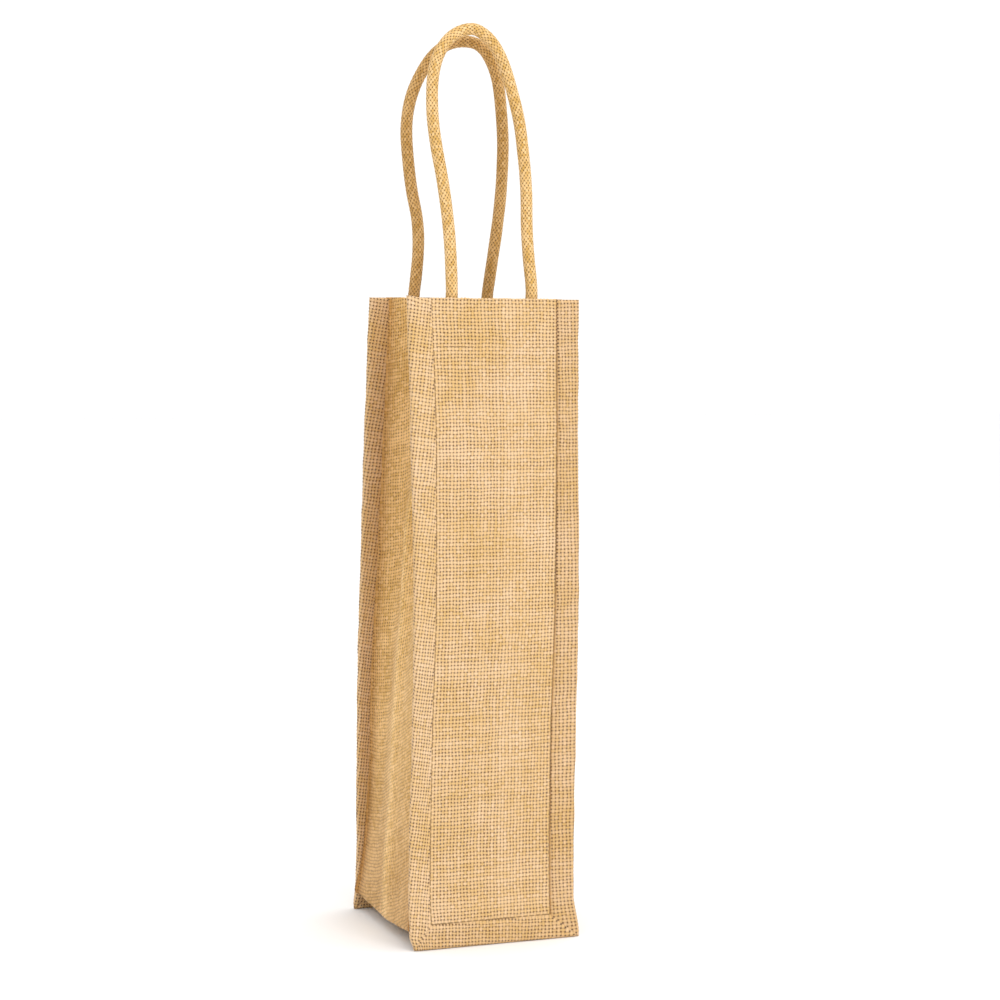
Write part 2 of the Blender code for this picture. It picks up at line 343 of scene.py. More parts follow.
def make_sheet(name, middle, thickness, flat, outward, edges, materials, painted_shade=None):
    """A closed sheet with rounded edges, from the grid of points down its middle.

    flat holds the place of each point on the flat cloth, and edges the radius of the first row,
    the last row, the first column and the last column. The outer face wears the first material.
    """
    rows, columns = middle.shape[:2]
    normal = np.cross(np.gradient(middle, axis=1), np.gradient(middle, axis=0))
    normal /= np.maximum(np.linalg.norm(normal, axis=-1, keepdims=True), 1e-12)
    turned = (normal * np.array(outward)).sum() < 0
    if turned:
        normal = -normal
    offset = normal * (edge_rounding(middle, edges) * thickness / 2)[..., None]
    flat = round_the_edges(middle, flat, edges)
    outer = np.arange(rows * columns).reshape(rows, columns)
    inner = outer.copy()
    inside = (slice(1, -1), slice(1, -1))
    inner_count = (rows - 2) * (columns - 2)
    inner[inside] = rows * columns + np.arange(inner_count).reshape(rows - 2, columns - 2)
    outer_points = (middle + offset).reshape(-1, 3)
    inner_points = (middle - offset)[inside].reshape(-1, 3)
    points = np.concatenate([outer_points, inner_points])

    def quads(index, flipped):
        corners = [index[:-1, :-1], index[:-1, 1:], index[1:, 1:], index[1:, :-1]]
        if flipped:
            corners = corners[::-1]
        return np.stack([c.ravel() for c in corners], axis=-1)

    outer_flipped = not turned
    faces = np.concatenate([quads(outer, outer_flipped), quads(inner, not outer_flipped)])
    uv = np.concatenate([flat.reshape(-1, 2), flat[inside].reshape(-1, 2)]) / YARN
    slots = np.repeat([0, min(1, len(materials) - 1)], len(faces) // 2)
    if painted_shade is not None:
        painted_shade = np.concatenate([painted_shade.ravel(), painted_shade[inside].ravel()])
    return make_mesh(name, settled(points), faces, uv[faces.ravel()], materials, slots, painted_shade)


def frames_along(path):
    """The direction of a path at each point, and two vectors across it, the second one level in Y."""
    along = np.gradient(path, axis=0)
    along /= np.linalg.norm(along, axis=1, keepdims=True)
    depth = np.array([0.0, 1.0, 0.0]) - along * along[:, 1:2]
    depth /= np.linalg.norm(depth, axis=1, keepdims=True)
    return along, np.cross(along, depth), depth


def make_tube(name, path, half_width, half_thickness, sides, corner_uv, materials):
    """A closed tube round a path. Its half sizes are arrays with a row for each point of the path."""
    _, across, depth = frames_along(path)
    turn = np.arange(sides) * 2 * math.pi / sides
    ring = np.cos(turn)[None, :, None] * half_width[..., None] * across[:, None, :]
    ring = ring + np.sin(turn)[None, :, None] * half_thickness[..., None] * depth[:, None, :]
    points = (path[:, None, :] + ring).reshape(-1, 3)
    index = np.arange(len(path) * sides).reshape(len(path), sides)
    after = np.roll(index, -1, axis=1)
    quads = np.stack([index[:-1], after[:-1], after[1:], index[1:]], axis=-1).reshape(-1, 4)
    return make_mesh(name, points, quads, corner_uv, materials)


# --- Materials -----------------------------------------------------------------------------


class Shader:
    """A material's node tree, with short calls for the nodes that the weave needs."""

    def __init__(self, name):
        self.material = bpy.data.materials.new(name)
        self.material.use_nodes = True
        self.tree = self.material.node_tree
        self.principled = self.tree.nodes["Principled BSDF"]

    def put(self, socket, value):
        """Links a socket to the value where it comes from a node, or sets it to a plain value."""
        if isinstance(value, bpy.types.NodeSocket):
            self.tree.links.new(value, socket)
        else:
            socket.default_value = value

    def math(self, operation, first, second=0.0, third=0.0):
        node = self.tree.nodes.new("ShaderNodeMath")
        node.operation = operation
        for socket, value in zip(node.inputs, (first, second, third)):
            self.put(socket, value)
        return node.outputs[0]

    def ramp(self, value, low, high, to_low, to_high):
        """Carries value from one range to another and holds it at the ends."""
        node = self.tree.nodes.new("ShaderNodeMapRange")
        node.interpolation_type = "SMOOTHSTEP"
        for socket, number in zip(node.inputs, (value, low, high, to_low, to_high)):
            self.put(socket, number)
        return node.outputs[0]

    def vector(self, x, y, z=0.0):
        node = self.tree.nodes.new("ShaderNodeCombineXYZ")
        for socket, value in zip(node.inputs, (x, y, z)):
            self.put(socket, value)
        return node.outputs[0]

    def noise(self, vector, scale, detail=2.0):
        node = self.tree.nodes.new("ShaderNodeTexNoise")
        self.put(node.inputs["Vector"], vector)
        node.inputs["Scale"].default_value = scale
        node.inputs["Detail"].default_value = detail
        return node.outputs["Fac"]

    def chance(self, vector):
        """A random number from 0 to 1 for each place, the same all over a cell."""
        node = self.tree.nodes.new("ShaderNodeTexWhiteNoise")
        self.put(node.inputs["Vector"], vector)
        return node.outputs["Value"]

    def mix(self, share, first, second):
        """The first colour where share is 0, and the second where it is 1."""
        node = self.tree.nodes.new("ShaderNodeMix")
        node.data_type = "RGBA"
        self.put(node.inputs["Factor"], share)
        self.put(node.inputs[6], first if isinstance(first, bpy.types.NodeSocket) else (*first, 1.0))
        self.put(node.inputs[7], second if isinstance(second, bpy.types.NodeSocket) else (*second, 1.0))
        return node.outputs[2]

    def either(self, share, first, second):
        """The first number where share is 1, and the second where it is 0."""
        difference = self.math("SUBTRACT", first, second)
        return self.math("ADD", second, self.math("MULTIPLY", share, difference))

    def swing(self, value, amount):
        """How far a value from 0 to 1 is off its middle, times the amount."""
        return self.math("MULTIPLY", self.math("SUBTRACT", value, 0.5), amount)

    def tint(self, colour, factor):
        """Multiplies a colour by another."""
        node = self.tree.nodes.new("ShaderNodeVectorMath")
        node.operation = "MULTIPLY"
        self.put(node.inputs[0], colour)
        node.inputs[1].default_value = factor
        return node.outputs[0]

    def brighten(self, colour, factor):
        """Multiplies a colour by a number."""
        node = self.tree.nodes.new("ShaderNodeVectorMath")
        node.operation = "SCALE"
        self.put(node.inputs[0], colour)
        self.put(node.inputs["Scale"], factor)
        return node.outputs[0]

    def attribute(self, name):
        node = self.tree.nodes.new("ShaderNodeAttribute")
        node.attribute_name = name
        return node.outputs["Fac"]

    def yarn_map(self):
        """The two coordinates of the UV map, in yarns."""
        node = self.tree.nodes.new("ShaderNodeUVMap")
        node.uv_map = "Yarns"
        split = self.tree.nodes.new("ShaderNodeSeparateXYZ")
        self.put(split.inputs[0], node.outputs["UV"])
        return split.outputs[0], split.outputs[1]

    def bump(self, height, distance, strength):
        node = self.tree.nodes.new("ShaderNodeBump")
        self.put(node.inputs["Height"], height)
        node.inputs["Distance"].default_value = distance
        node.inputs["Strength"].default_value = strength
        self.put(self.principled.inputs["Normal"], node.outputs[0])


def yarn_profile(s, across, along, other, half_width):
    """Height of one set of yarns: round across, and rising and falling as they cross the others."""
    squared = s.math("POWER", s.math("DIVIDE", across, half_width), 2.0)
    round_top = s.math("SQRT", s.math("MAXIMUM", s.math("SUBTRACT", 1.0, squared), 0.0))
    phase = s.math("MULTIPLY", s.math("ADD", s.math("SUBTRACT", along, 0.5), other), math.pi)
    wave = s.math("MULTIPLY", s.math("COSINE", phase), YARN_WAVE)
    inside = s.math("LESS_THAN", s.math("ABSOLUTE", across), half_width)
    height = s.math("ADD", s.math("MULTIPLY", round_top, YARN_ROUND), wave)
    return s.math("SUBTRACT", height, s.math("MULTIPLY", s.math("SUBTRACT", 1.0, inside), 3.0))


def weave_material(
    name,
    light,
    dark,
    gaps,
    plaits=0,
    wander=0.9,
    width=0.318,
    relief=0.0004,
    speckle=0.26,
    painted_relief_light=(0.86, 1.12),
    worn=0.0,
):
    """Plain-woven yarns: each with its own tone and width, dark gaps between them, and fibres, with
    painted shade and highlight on their relief.

    light and dark are the yarns' two colours, and gaps the two colours between them: the lining showing
    through, darkened as painted shade. A material for a rope says how many plaits go round it, so that
    its strands meet themselves. speckle is how much one crossing differs from the next, and hollows is
    painted shade and highlight: how bright the yarns are painted where they dive and where they rise.
    worn is how much the gaps are felted over, in patches.
    """
    s = Shader(name)
    u, v = s.yarn_map()
    place = s.vector(u, v)
    sway_u = s.swing(s.noise(place, 0.14, 3.0), wander)
    sway_v = s.swing(s.noise(s.vector(v, u, 7.3), 0.14, 3.0), wander)
    u = s.math("ADD", u, sway_u)
    v = s.math("ADD", v, sway_v)
    warp, weft = s.math("FLOOR", u), s.math("FLOOR", v)
    across_warp = s.math("SUBTRACT", s.math("FRACT", u), 0.5)
    across_weft = s.math("SUBTRACT", s.math("FRACT", v), 0.5)
    warp_name = s.math("FLOORED_MODULO", warp, plaits) if plaits else warp
    weft_name = s.math("FLOORED_MODULO", weft, plaits) if plaits else weft
    warp_chance = s.chance(s.vector(warp_name, 3.1))
    weft_chance = s.chance(s.vector(weft_name, 8.7))

    # Slubs: each yarn swells and thins along its own length
    warp_place = s.vector(s.math("MULTIPLY", warp_name, 5.3), s.math("MULTIPLY", v, 0.3))
    weft_place = s.vector(s.math("MULTIPLY", u, 0.3), s.math("MULTIPLY", weft_name, 4.1), 2.0)
    warp_slub, weft_slub = s.noise(warp_place, 1.0), s.noise(weft_place, 1.0)
    thin, thick = width - 0.045, width + 0.055
    warp_width = s.ramp(s.math("ADD", warp_chance, warp_slub), 0.2, 1.6, thin, thick)
    weft_width = s.ramp(s.math("ADD", weft_chance, weft_slub), 0.2, 1.6, thin, thick)
    warp_height = yarn_profile(s, across_warp, v, warp, warp_width)
    weft_height = yarn_profile(s, across_weft, s.math("ADD", u, 1.0), weft, weft_width)
    height = s.math("MAXIMUM", s.math("MAXIMUM", warp_height, weft_height), -0.75)
    warp_on_top = s.math("GREATER_THAN", warp_height, weft_height)

    # Fibres run along whichever yarn is on top
    warp_fibre = s.noise(s.vector(s.math("MULTIPLY", u, 9.0), v), 1.6, 3.0)
    weft_fibre = s.noise(s.vector(u, s.math("MULTIPLY", v, 9.0), 5.0), 1.6, 3.0)
    fibre = s.either(warp_on_top, warp_fibre, weft_fibre)
    chance = s.either(warp_on_top, warp_chance, weft_chance)

    # Colours: each float of each yarn has caught the light and the dirt in its own way
    floats = s.chance(s.vector(warp, weft, 4.0))
    tone = s.math("ADD", s.swing(chance, 0.16), s.noise(place, 0.05, 4.0))
    tone = s.math("ADD", tone, s.swing(floats, speckle))
    tone = s.math("ADD", tone, s.swing(fibre, 1.0))
    yarn_colour = s.mix(s.ramp(tone, 0.0, 1.0, 0.0, 1.0), dark, light)
    # The gaps show the lining through, darkened as painted shade, and each yarn fades into them at its
    # edges as painted shade
    gap_colour = s.mix(s.chance(s.vector(warp, weft)), gaps[0], gaps[1])
    open_share = s.ramp(height, -0.40, 0.40, 0.0, 1.0)
    if worn:
        felted = s.ramp(s.noise(s.vector(u, v, 11.0), 0.45, 2.0), 0.38, 0.62, 0.0, worn)
        open_share = s.math("MAXIMUM", open_share, felted)
    colour = s.mix(open_share, gap_colour, yarn_colour)
    # Painted shade from the mesh's attribute, then painted shade and highlight where the yarns dive and
    # rise
    shaded = s.mix(s.attribute("painted_shade"), colour, s.tint(colour, PAINTED_SHADE_TINT))
    shaded = s.brighten(shaded, s.ramp(height, 0.4, 1.12, *painted_relief_light))
    s.put(s.principled.inputs["Base Color"], shaded)
    s.put(s.principled.inputs["Roughness"], s.ramp(fibre, 0.2, 0.8, 0.95, 0.72))
    s.bump(s.math("ADD", height, s.math("MULTIPLY", fibre, 0.25)), relief, 0.8)
    s.principled.inputs["Specular IOR Level"].default_value = 0.25
    s.principled.inputs["Sheen Weight"].default_value = 0.10
    s.principled.inputs["Sheen Roughness"].default_value = 0.6
    return s


def jute_material(name):
    """The cloth of the front, the back and the welts."""
    return weave_material(
        name,
        light=(0.745, 0.518, 0.318),
        dark=(0.610, 0.374, 0.125),
        gaps=((0.19, 0.072, 0.010), (0.19, 0.130, 0.090)),
    ).material


def gusset_material(name):
    """The cloth of the sides, browner and more saturated than the front and the back: painted warm
    bounced light in their shade.
    """
    return weave_material(
        name,
        light=(0.86, 0.565, 0.255),
        dark=(0.60, 0.350, 0.095),
        gaps=((0.15, 0.065, 0.012), (0.17, 0.105, 0.045)),
        wander=1.4,
        width=0.33,
        relief=0.0002,
        speckle=0.5,
        painted_relief_light=(0.90, 1.08),
        worn=0.5,
    ).material


def lined_jute_material(name):
    """The inner face, with a thin clear film bonded to the cloth."""
    s = weave_material(
        name,
        light=(0.62, 0.45, 0.25),
        dark=(0.50, 0.33, 0.15),
        gaps=((0.33, 0.20, 0.09), (0.30, 0.22, 0.13)),
        relief=0.0002,
    )
    s.principled.inputs["Coat Weight"].default_value = 0.35
    s.principled.inputs["Coat Roughness"].default_value = 0.35
    return s.material


def rope_material(name, light, dark):
    """Plaited jute: the weave turned on its corner by the UV map of the rope."""
    return weave_material(
        name,
        light=light,
        dark=dark,
        gaps=((0.13, 0.045, 0.006), (0.19, 0.085, 0.02)),
        plaits=ROPE_PLAITS,
        wander=0.35,
        width=0.335,
        relief=0.0003,
        speckle=0.8,
    ).material


def thread_material(name):
    """Spun sewing thread: two plies wound round each other."""
    s = Shader(name)
    u, v = s.yarn_map()
    plies = s.math("SINE", s.math("ADD", s.math("MULTIPLY", u, 40.0), s.math("MULTIPLY", v, 14.0)))
    wear = s.noise(s.vector(u, v), 2.0)
    colour = s.mix(s.ramp(plies, -1.0, 1.0, 0.0, 1.0), (0.26, 0.145, 0.05), (0.42, 0.27, 0.115))
    s.put(s.principled.inputs["Base Color"], s.brighten(colour, s.ramp(wear, 0.2, 0.8, 0.85, 1.15)))
    s.put(s.principled.inputs["Roughness"], s.ramp(wear, 0.2, 0.8, 0.7, 0.9))
    s.bump(plies, 0.0001, 0.6)
    s.principled.inputs["Sheen Weight"].default_value = 0.1
    return s.material


# --- Front and back ------------------------------------------------------------------------


def make_panel(side, word, jute, lined):
    """The flat of a side: slack between its seams, and pulled in along its stitching."""
    half = STITCH_LINE + GAP
    low, high = WELT_WIDTH + GAP, HEIGHT
    x = stations(-half, half, FINE_STEP, CLOTH / 2, CLOTH / 2)[None, :]
    z = stations(low, high, COARSE_STEP, CLOTH / 2, CLOTH / 2)[:, None]
    to_seam = np.minimum(half - np.abs(x), z - low)
    groove = GROOVE_DEPTH[LEFT] * hump(np.minimum(half + x, z - low), 0.0, 0.0012)
    groove = groove + GROOVE_DEPTH[RIGHT] * hump(half - x, 0.0, 0.0012)
    pulled = groove + 0.00025 * hump(z, HEM_STITCHING, 0.0012)
    slack = 0.00055 * ripple(x, z, 0.075, 11 + side) + 0.0002 * ripple(x, z, 0.021, 5 + side)
    slack = slack * smooth(0.0, 0.012, to_seam)
    doubled = 0.0003 * smooth(HEM_FOOT - 0.002, HEM_FOOT + 0.001, z)
    depth = PANEL_FACE + CLOTH / 2 + pulled + slack - doubled
    loops = scalloped(x) * (1.3 + 1.2 * ripple(x, 0 * x, 0.007, 41 + side))
    top = loops * smooth(high - 0.0012, high, z)
    wave = 0.0003 * ripple(x, 0 * x, 0.03, 21 + side) * smooth(high - 0.02, high, z)
    middle = side_points(side, x, depth, z + top + wave)
    flat = np.stack(np.broadcast_arrays(x, z), axis=-1)
    # Painted shade in the grooves beside the welts and along the hem's stitching
    painted_shade = GROOVE_SHADE[RIGHT] * hump(half - x, 0.0005, 0.0005) + 0.05 * hump(z, HEM_STITCHING, 0.0007)
    painted_shade = painted_shade + GROOVE_SHADE[LEFT] * hump(np.minimum(half + x, z - low), 0.0, 0.0006)
    name = f"{word}_panel_cloth"
    panel = make_sheet(name, middle, CLOTH, flat, (0, side, 0), THIN_EDGES, (jute, lined), painted_shade)
    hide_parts(f"{word}_panel")
    return panel


def welt_section(across, groove):
    """Depth of a welt's outer face and its thickness, from its stitching to its free edge."""
    full = smooth(0.0, 0.0024, across)
    face = (groove + 0.0003) * (1 - full)
    thickness = WELT_PRESSED + (WELT_THICKNESS - WELT_PRESSED) * full
    return face, thickness


def make_upright_welt(side, word, hand, hand_word, jute):
    """The folded edge beside a panel, mitred at its foot."""
    across = stations(0.0, WELT_WIDTH, 0.0008, 0.0008, WELT_THICKNESS / 2)[None, :]
    up = stations(0.0, 1.0, FINE_STEP / HEIGHT, 0.0015 / HEIGHT, 0.0018 / HEIGHT)[:, None]
    foot = WELT_WIDTH - across - 0.0006 * (across < WELT_WIDTH - 0.0006)
    z = foot + (HEIGHT - foot) * up
    seed = 31 + 3 * side + hand
    free = smooth(0.004, WELT_WIDTH, across)
    scallop = scalloped(z)
    edge_wave = 0.0004 * ripple(z, 0 * z, 0.034, seed) + 0.0002 * ripple(z, 0 * z, 0.011, seed + 1)
    lap = WELT_LAP[hand] * (1 - across / WELT_WIDTH)
    x = STITCH_LINE + GAP + across - lap + free * (scallop - SCALLOP + edge_wave)
    face, thickness = welt_section(across, GROOVE_DEPTH[hand])
    swell = 0.00035 * ripple(across, z, 0.03, seed + 2) * smooth(0.0, 0.004, across)
    dip = 0.0003 * hump(z - foot, 0.0, 0.0016)
    rim = 0.0012 * smooth(HEIGHT - 0.008, HEIGHT, z) * free if side == FRONT and hand == LEFT else 0.0
    middle = side_points(side, hand * x, face + thickness / 2 + swell + dip, z + rim)
    slant = WELT_SLANT[hand]
    flat = np.stack(np.broadcast_arrays(hand * x + slant * z, z - slant * hand * x), axis=-1)
    # Painted shade over the welt, deeper near the root of a back welt beside the gusset, and in the
    # groove and the crease of the mitre
    shade = BACK_WELT_SHADE if side == BACK else WELT_SHADE[hand]
    if side == BACK:
        shade = shade + 0.30 * hump(across, 0.0020, 0.0042)
    painted_shade = shade + GROOVE_SHADE[hand] * hump(across, 0.0, 0.0005)
    painted_shade = np.broadcast_to(painted_shade + 0.15 * hump(z - foot, 0.0, 0.0007), z.shape)
    edges = (0.0014, 0.0018, 0.0008, WELT_THICKNESS / 2)
    name = f"{word}_{hand_word}_welt_cloth"
    thickness = np.broadcast_to(thickness, z.shape)
    welt = make_sheet(name, middle, thickness, flat, (0, side, 0), edges, (jute,), painted_shade)
    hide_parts(f"{word}_{hand_word}_welt")
    return welt


def make_bottom_welt(side, word, jute):
    """The folded edge that the bag stands on, mitred at both ends."""
    across = stations(0.0, WELT_WIDTH, 0.0008, 0.0008, WELT_THICKNESS / 2)[:, None]
    mitre_edge = 0.0014 / HALF_WIDTH
    along = stations(-1.0, 1.0, FINE_STEP / HALF_WIDTH, mitre_edge, mitre_edge)[None, :]
    half = STITCH_LINE + across
    x = along * half
    free = smooth(0.004, WELT_WIDTH, across)
    scallop = scalloped(x) - SCALLOP
    lap = WELT_LAP[LEFT] * (1 - across / WELT_WIDTH)
    z = WELT_WIDTH - across + lap - free * scallop * 0.6
    face, thickness = welt_section(across, GROOVE_DEPTH[LEFT])
    swell = 0.0003 * ripple(x, across, 0.028, 51 + side) * smooth(0.0, 0.004, across)
    to_mitre = half - np.abs(x)
    dip = 0.0003 * hump(to_mitre, 0.0, 0.0016)
    middle = side_points(side, x, face + thickness / 2 + swell + dip, z)
    slant = 0.06
    flat = np.stack(np.broadcast_arrays(x - slant * z, z + slant * x), axis=-1)
    # Darker over all, with painted shade in the groove and in the creases of the mitres
    painted_shade = 0.08 + GROOVE_SHADE[LEFT] * hump(across, 0.0, 0.0005) + 0.15 * hump(to_mitre, 0.0, 0.0007)
    edges = (0.0008, WELT_THICKNESS / 2, 0.0014, 0.0014)
    name = f"{word}_bottom_welt_cloth"
    thickness = np.broadcast_to(thickness, z.shape)
    painted_shade = np.broadcast_to(painted_shade, z.shape)
    welt = make_sheet(name, middle, thickness, flat, (0, side, 0), edges, (jute,), painted_shade)
    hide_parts(f"{word}_bottom_welt")
    return welt


def make_hem(side, word, feet, jute, lined):
    """The turned-in top of a panel, which swells over the two rope ends sewn under it."""
    half = STITCH_LINE - 0.0002
    low, high = HEM_FOOT, HEIGHT - 0.0002
    x = stations(-half, half, FINE_STEP * 2, CLOTH / 2, CLOTH / 2)[None, :]
    z = stations(low, high, 0.0012, CLOTH / 2, CLOTH / 2)[:, None]
    pocket = 0.0
    for foot in feet:
        pocket = pocket + 1 - smooth(POCKET_TOP, POCKET_FOOT, np.abs(x - foot))
    depth = PANEL_FACE + CLOTH + GAP + CLOTH / 2 + POCKET_RISE * pocket
    depth = depth - 0.0005 * hump(z, HEM_STITCHING, 0.0015) * (1 - pocket)
    depth = depth + 0.0002 * ripple(x, z, 0.014, 61 + side)
    middle = side_points(side, x, depth, z + 0 * x)
    flat = np.stack(np.broadcast_arrays(x, z), axis=-1)
    name = f"{word}_hem_cloth"
    # Painted shade along the hem's stitching, where the hem is pulled in
    painted_shade = np.broadcast_to(0.4 * hump(z, HEM_STITCHING, 0.0009), middle.shape[:2])
    hem = make_sheet(name, middle, CLOTH, flat, (0, side, 0), THIN_EDGES, (lined, jute), painted_shade)
    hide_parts(f"{word}_hem")
    return hem


def make_stitches(name, route, gap, radius, thread):
    """Single stitches along a route of points, each one a short bead of thread."""
    route = np.array(route, float)
    run = run_along(route, 0)
    pitch = STITCH + gap
    count = int(run[-1] / pitch)
    shape = np.array([0.0, 0.5, 0.85, 1.0, 1.0, 0.85, 0.5, 0.0])
    places = np.array([0.0, 0.02, 0.1, 0.3, 0.7, 0.9, 0.98, 1.0])
    sides = 8
    points, quads, uv = [], [], []
    turn = np.arange(sides) * 2 * math.pi / sides
    for i in range(count):
        at = (i + 0.5) * pitch - STITCH / 2 + places * STITCH
        path = np.stack([np.interp(at, run, route[:, k]) for k in range(3)], axis=-1)
        path[:, 1] += np.sign(path[:, 1]) * 0.0002 * np.sin(places * math.pi)
        _, across, depth = frames_along(path)
        ring = np.cos(turn)[None, :, None] * across[:, None, :]
        ring = ring + np.sin(turn)[None, :, None] * depth[:, None, :]
        ring = path[:, None, :] + ring * (radius * (0.05 + shape))[:, None, None]
        start = len(points) * len(places) * sides
        index = start + np.arange(len(places) * sides).reshape(len(places), sides)
        after = np.roll(index, -1, axis=1)
        quads.append(np.stack([index[:-1], after[:-1], after[1:], index[1:]], axis=-1).reshape(-1, 4))
        points.append(ring.reshape(-1, 3))
        corner = np.stack(np.meshgrid(np.arange(sides) / sides, at / YARN), axis=-1)
        uv.append(corner.reshape(-1, 2))
    points, quads, uv = np.concatenate(points), np.concatenate(quads), np.concatenate(uv)
    return make_mesh(name, settled(points), quads, uv[quads.ravel()], (thread,))


def make_welt_stitches(side, word, thread):
    """The line of stitching down the left welt, along the bottom welt and up the right welt."""
    x, low, high = STITCH_LINE - 0.0004, WELT_WIDTH + 0.0008, HEIGHT - 0.002
    heights = np.linspace(high, low, 60)
    left, right = THREAD_DEPTH[LEFT], THREAD_DEPTH[RIGHT]
    route = [(-x, left, z) for z in heights]
    route += [(t, left, low) for t in np.linspace(-x, x, 30)[1:-1]]
    route += [(x, right, z) for z in heights[::-1]]
    points = [side_points(side, *place) for place in route]
    name = f"{word}_welt_stitches"
    stitches = make_stitches(name, points, WELT_STITCH_GAP, WELT_THREAD_RADIUS, thread)
    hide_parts(f"{word}_welt_thread")
    return stitches


def make_hem_stitches(side, word, thread):
    """The straight line of stitching that holds a hem."""
    half = STITCH_LINE - 0.001
    points = [side_points(side, x, 0.00074, HEM_STITCHING) for x in np.linspace(-half, half, 40)]
    name = f"{word}_hem_stitches"
    stitches = make_stitches(name, points, HEM_STITCH_GAP, HEM_THREAD_RADIUS, thread)
    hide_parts(f"{word}_hem_thread")
    return stitches


# --- Ropes ---------------------------------------------------------------------------------


def smooth_curve(points, count):
    """Evenly spaced places on the Catmull-Rom curve through the points."""
    points = np.array(points, float)
    padded = np.concatenate([points[:1], points, points[-1:]])
    spans = len(points) - 1
    t = np.linspace(0, spans, 40 * spans + 1)
    i = np.minimum(t.astype(int), spans - 1)
    u = (t - i)[:, None]
    before, first, second, after = (padded[i + k] for k in range(4))
    slope_in, slope_out = (second - before) / 2, (after - first) / 2
    fine = first * (2 * u**3 - 3 * u**2 + 1) + slope_in * (u**3 - 2 * u**2 + u)
    fine += second * (3 * u**2 - 2 * u**3) + slope_out * (u**3 - u**2)
    run = run_along(fine, 0)
    even = np.linspace(0, run[-1], count)
    return np.stack([np.interp(even, run, fine[:, k]) for k in range(3)], axis=-1)


def rope_route(side, route):
    """A rope's centre line: up out of one pocket, round the loop and down into the other."""
    rim_y = side * (half_depth(HEIGHT) - ROPE_AXIS_DEPTH)
    foot_y = side * (half_depth(ROPE_END_FOOT) - ROPE_AXIS_DEPTH + 0.0009)
    top_y = side * HANDLE_TOP_DEPTH
    top, low = max(h for _, h in route), route[0][1]
    loop = []
    for x, above in route:
        lean = (above - low) / (top - low)
        loop.append((x, rim_y + (top_y - rim_y) * lean, HEIGHT + above))
    feet_x = (route[0][0], route[-1][0])
    feet = [[(x, foot_y, ROPE_END_FOOT), (x, rim_y, HEIGHT - 0.006)] for x in feet_x]
    return settled(smooth_curve(feet[0] + loop + feet[1][::-1], 60))


def make_rope(side, word, route, braid):
    """A plaited rope: its strands stand up from the surface and cross over and under."""
    centre = rope_route(side, route)
    length = float(run_along(centre, 0)[-1])
    path = smooth_curve(centre, int(length / ROPE_STEP))
    along = run_along(path, 0)[:, None]
    turn = np.arange(ROPE_SIDES)[None, :] / ROPE_SIDES
    first = ROPE_PLAITS * turn + along / PLAIT_LENGTH
    second = ROPE_PLAITS * turn - along / PLAIT_LENGTH
    relief = PLAIT_RELIEF * (plait_height(first, second) - 0.6)
    uneven = 0.0001 * ripple(along, turn * 0.02, 0.02, 71 + side)
    pressed = 1 - smooth(HEIGHT - 0.010, HEIGHT + 0.004, path[:, 2:3])
    to_end = np.minimum(along, length - along)
    capped = np.sqrt(np.clip(1 - (1 - np.clip(to_end / 0.001, 0, 1)) ** 2, 0.0004, 1))
    half_width = (ROPE_RADIUS + 0.0008 * pressed + relief + uneven) * capped
    half_thickness = (ROPE_RADIUS - 0.0009 * pressed + relief + uneven) * capped
    corners_turn = np.stack([turn, turn + 1 / ROPE_SIDES, turn + 1 / ROPE_SIDES, turn], axis=-1)
    corners_along = np.stack([along[:-1], along[:-1], along[1:], along[1:]], axis=-1)
    round_it, along_it = np.broadcast_arrays(corners_turn * ROPE_PLAITS, corners_along / PLAIT_LENGTH)
    uv = np.stack([round_it + along_it, round_it - along_it], axis=-1)
    rope = make_tube(f"{word}_rope", path, half_width, half_thickness, ROPE_SIDES, uv, (braid,))
    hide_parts(f"{word}_handle", f"{word}_handle_left_end", f"{word}_handle_right_end")
    return rope


def plait_height(first, second):
    """Height of the strands where one set crosses the other, from about -0.6 to 1.1."""
    heights = []
    for across, along, shift in ((first, second, 0.0), (second, first, 1.0)):
        offset = across - np.floor(across) - 0.5
        round_top = np.sqrt(np.maximum(1 - (offset / 0.5) ** 2, 0.0))
        crossing = np.cos(math.pi * (along - 0.5 + shift + np.floor(across)))
        heights.append(YARN_ROUND * round_top + YARN_WAVE * crossing)
    return np.maximum(*heights)


# --- Gussets and base ----------------------------------------------------------------------


# Half width of a gusset at its seams and at its crease, by height, before its unevenness
GUSSET_EDGE = ((0.0, 0.0470), (0.012, 0.0466), (0.040, 0.0425), (0.090, 0.0384), (0.350, 0.0370))
GUSSET_CREASE = (
    (0.0, 0.0472),
    (0.030, 0.0450),
    (0.080, 0.0412),
    (0.150, 0.0352),
    (0.220, 0.0280),
    (0.290, 0.0200),
    (0.350, 0.0130),
)
# A soft ridge stands along the middle of a gusset, with a hollow behind it: where the ridge runs, as
# a share of the depth from the middle to the front, and how far out it stands, by height
RIDGE_SHARE = ((0.0, 0.05), (0.080, 0.08), (0.150, -0.02), (0.220, -0.15))
RIDGE_RISE = (
    (0.0, 0.0),
    (0.030, 0.0024),
    (0.080, 0.0030),
    (0.150, 0.0040),
    (0.220, 0.0060),
    (0.280, 0.0030),
    (0.330, 0.0),
)
HOLLOW_SHARE = -0.60
HOLLOW_DEPTH = 0.0040
# How far the yarns across a gusset rise for each metre towards the front
GUSSET_SLANT = 0.34
# How far a gusset's seams lie in from the outer planes of the front and the back
GUSSET_SEAM_DEPTH = 0.0026
# The soft fold from a gusset to the base, and the lip that laps under the base
FOLD_RADIUS = 0.0024
LIP = 0.007
# The base, and how far it sags between the bottom welts
BASE_HALF_WIDTH = 0.0425
BASE_HEIGHT = 0.0102
BASE_SAG = 0.0034


def base_height(y):
    """Height of the fold along a side of the base, which sags between the bottom welts."""
    share = np.clip(y / (FOOT_HALF_DEPTH - GUSSET_SEAM_DEPTH), -1, 1)
    return BASE_HEIGHT - BASE_SAG * (1 - share**2)


